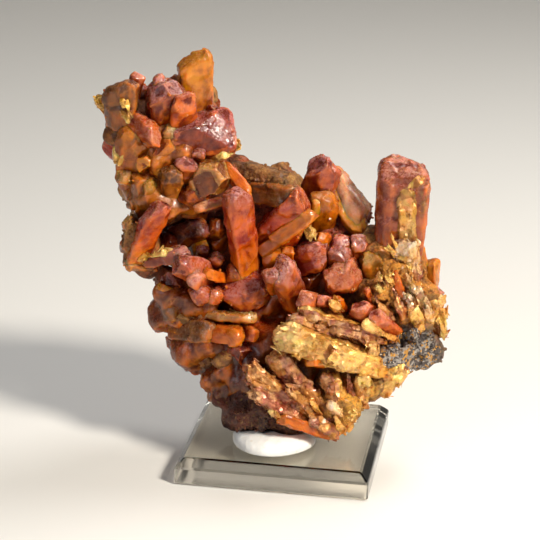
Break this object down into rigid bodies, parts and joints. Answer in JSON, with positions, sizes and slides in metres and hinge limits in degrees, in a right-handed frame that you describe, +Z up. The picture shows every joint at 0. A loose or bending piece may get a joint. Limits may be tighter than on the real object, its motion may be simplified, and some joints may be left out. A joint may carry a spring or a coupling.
{
  "type": "orpiment crystal specimen on stand",
  "caption": "Orpiment crystal cluster with a leaning tower, blocky red crystals, gold foliated blades and dark matrix, held by white putty on a small bevelled clear acrylic stand.",
  "frame": {"origin": "centre of the stand's flat underside", "axes": "+Z up, +X along the stand's front edge to the viewer's right, -Y towards the specimen's show face"},
  "size_m": [0.0637, 0.0342, 0.0747],
  "materials": {
    "orpiment": "waxy orange-red crystals with mauve druse, golden foliated blades and dark brown matrix",
    "putty": "soft matte white",
    "clear_acrylic": "polished, clear with a faint warm tint"
  },
  "bodies": {
    "root": {"orpiment_specimen": "orpiment", "mounting_putty": "putty", "acrylic_stand": "clear_acrylic"}
  },
  "joints": []
}
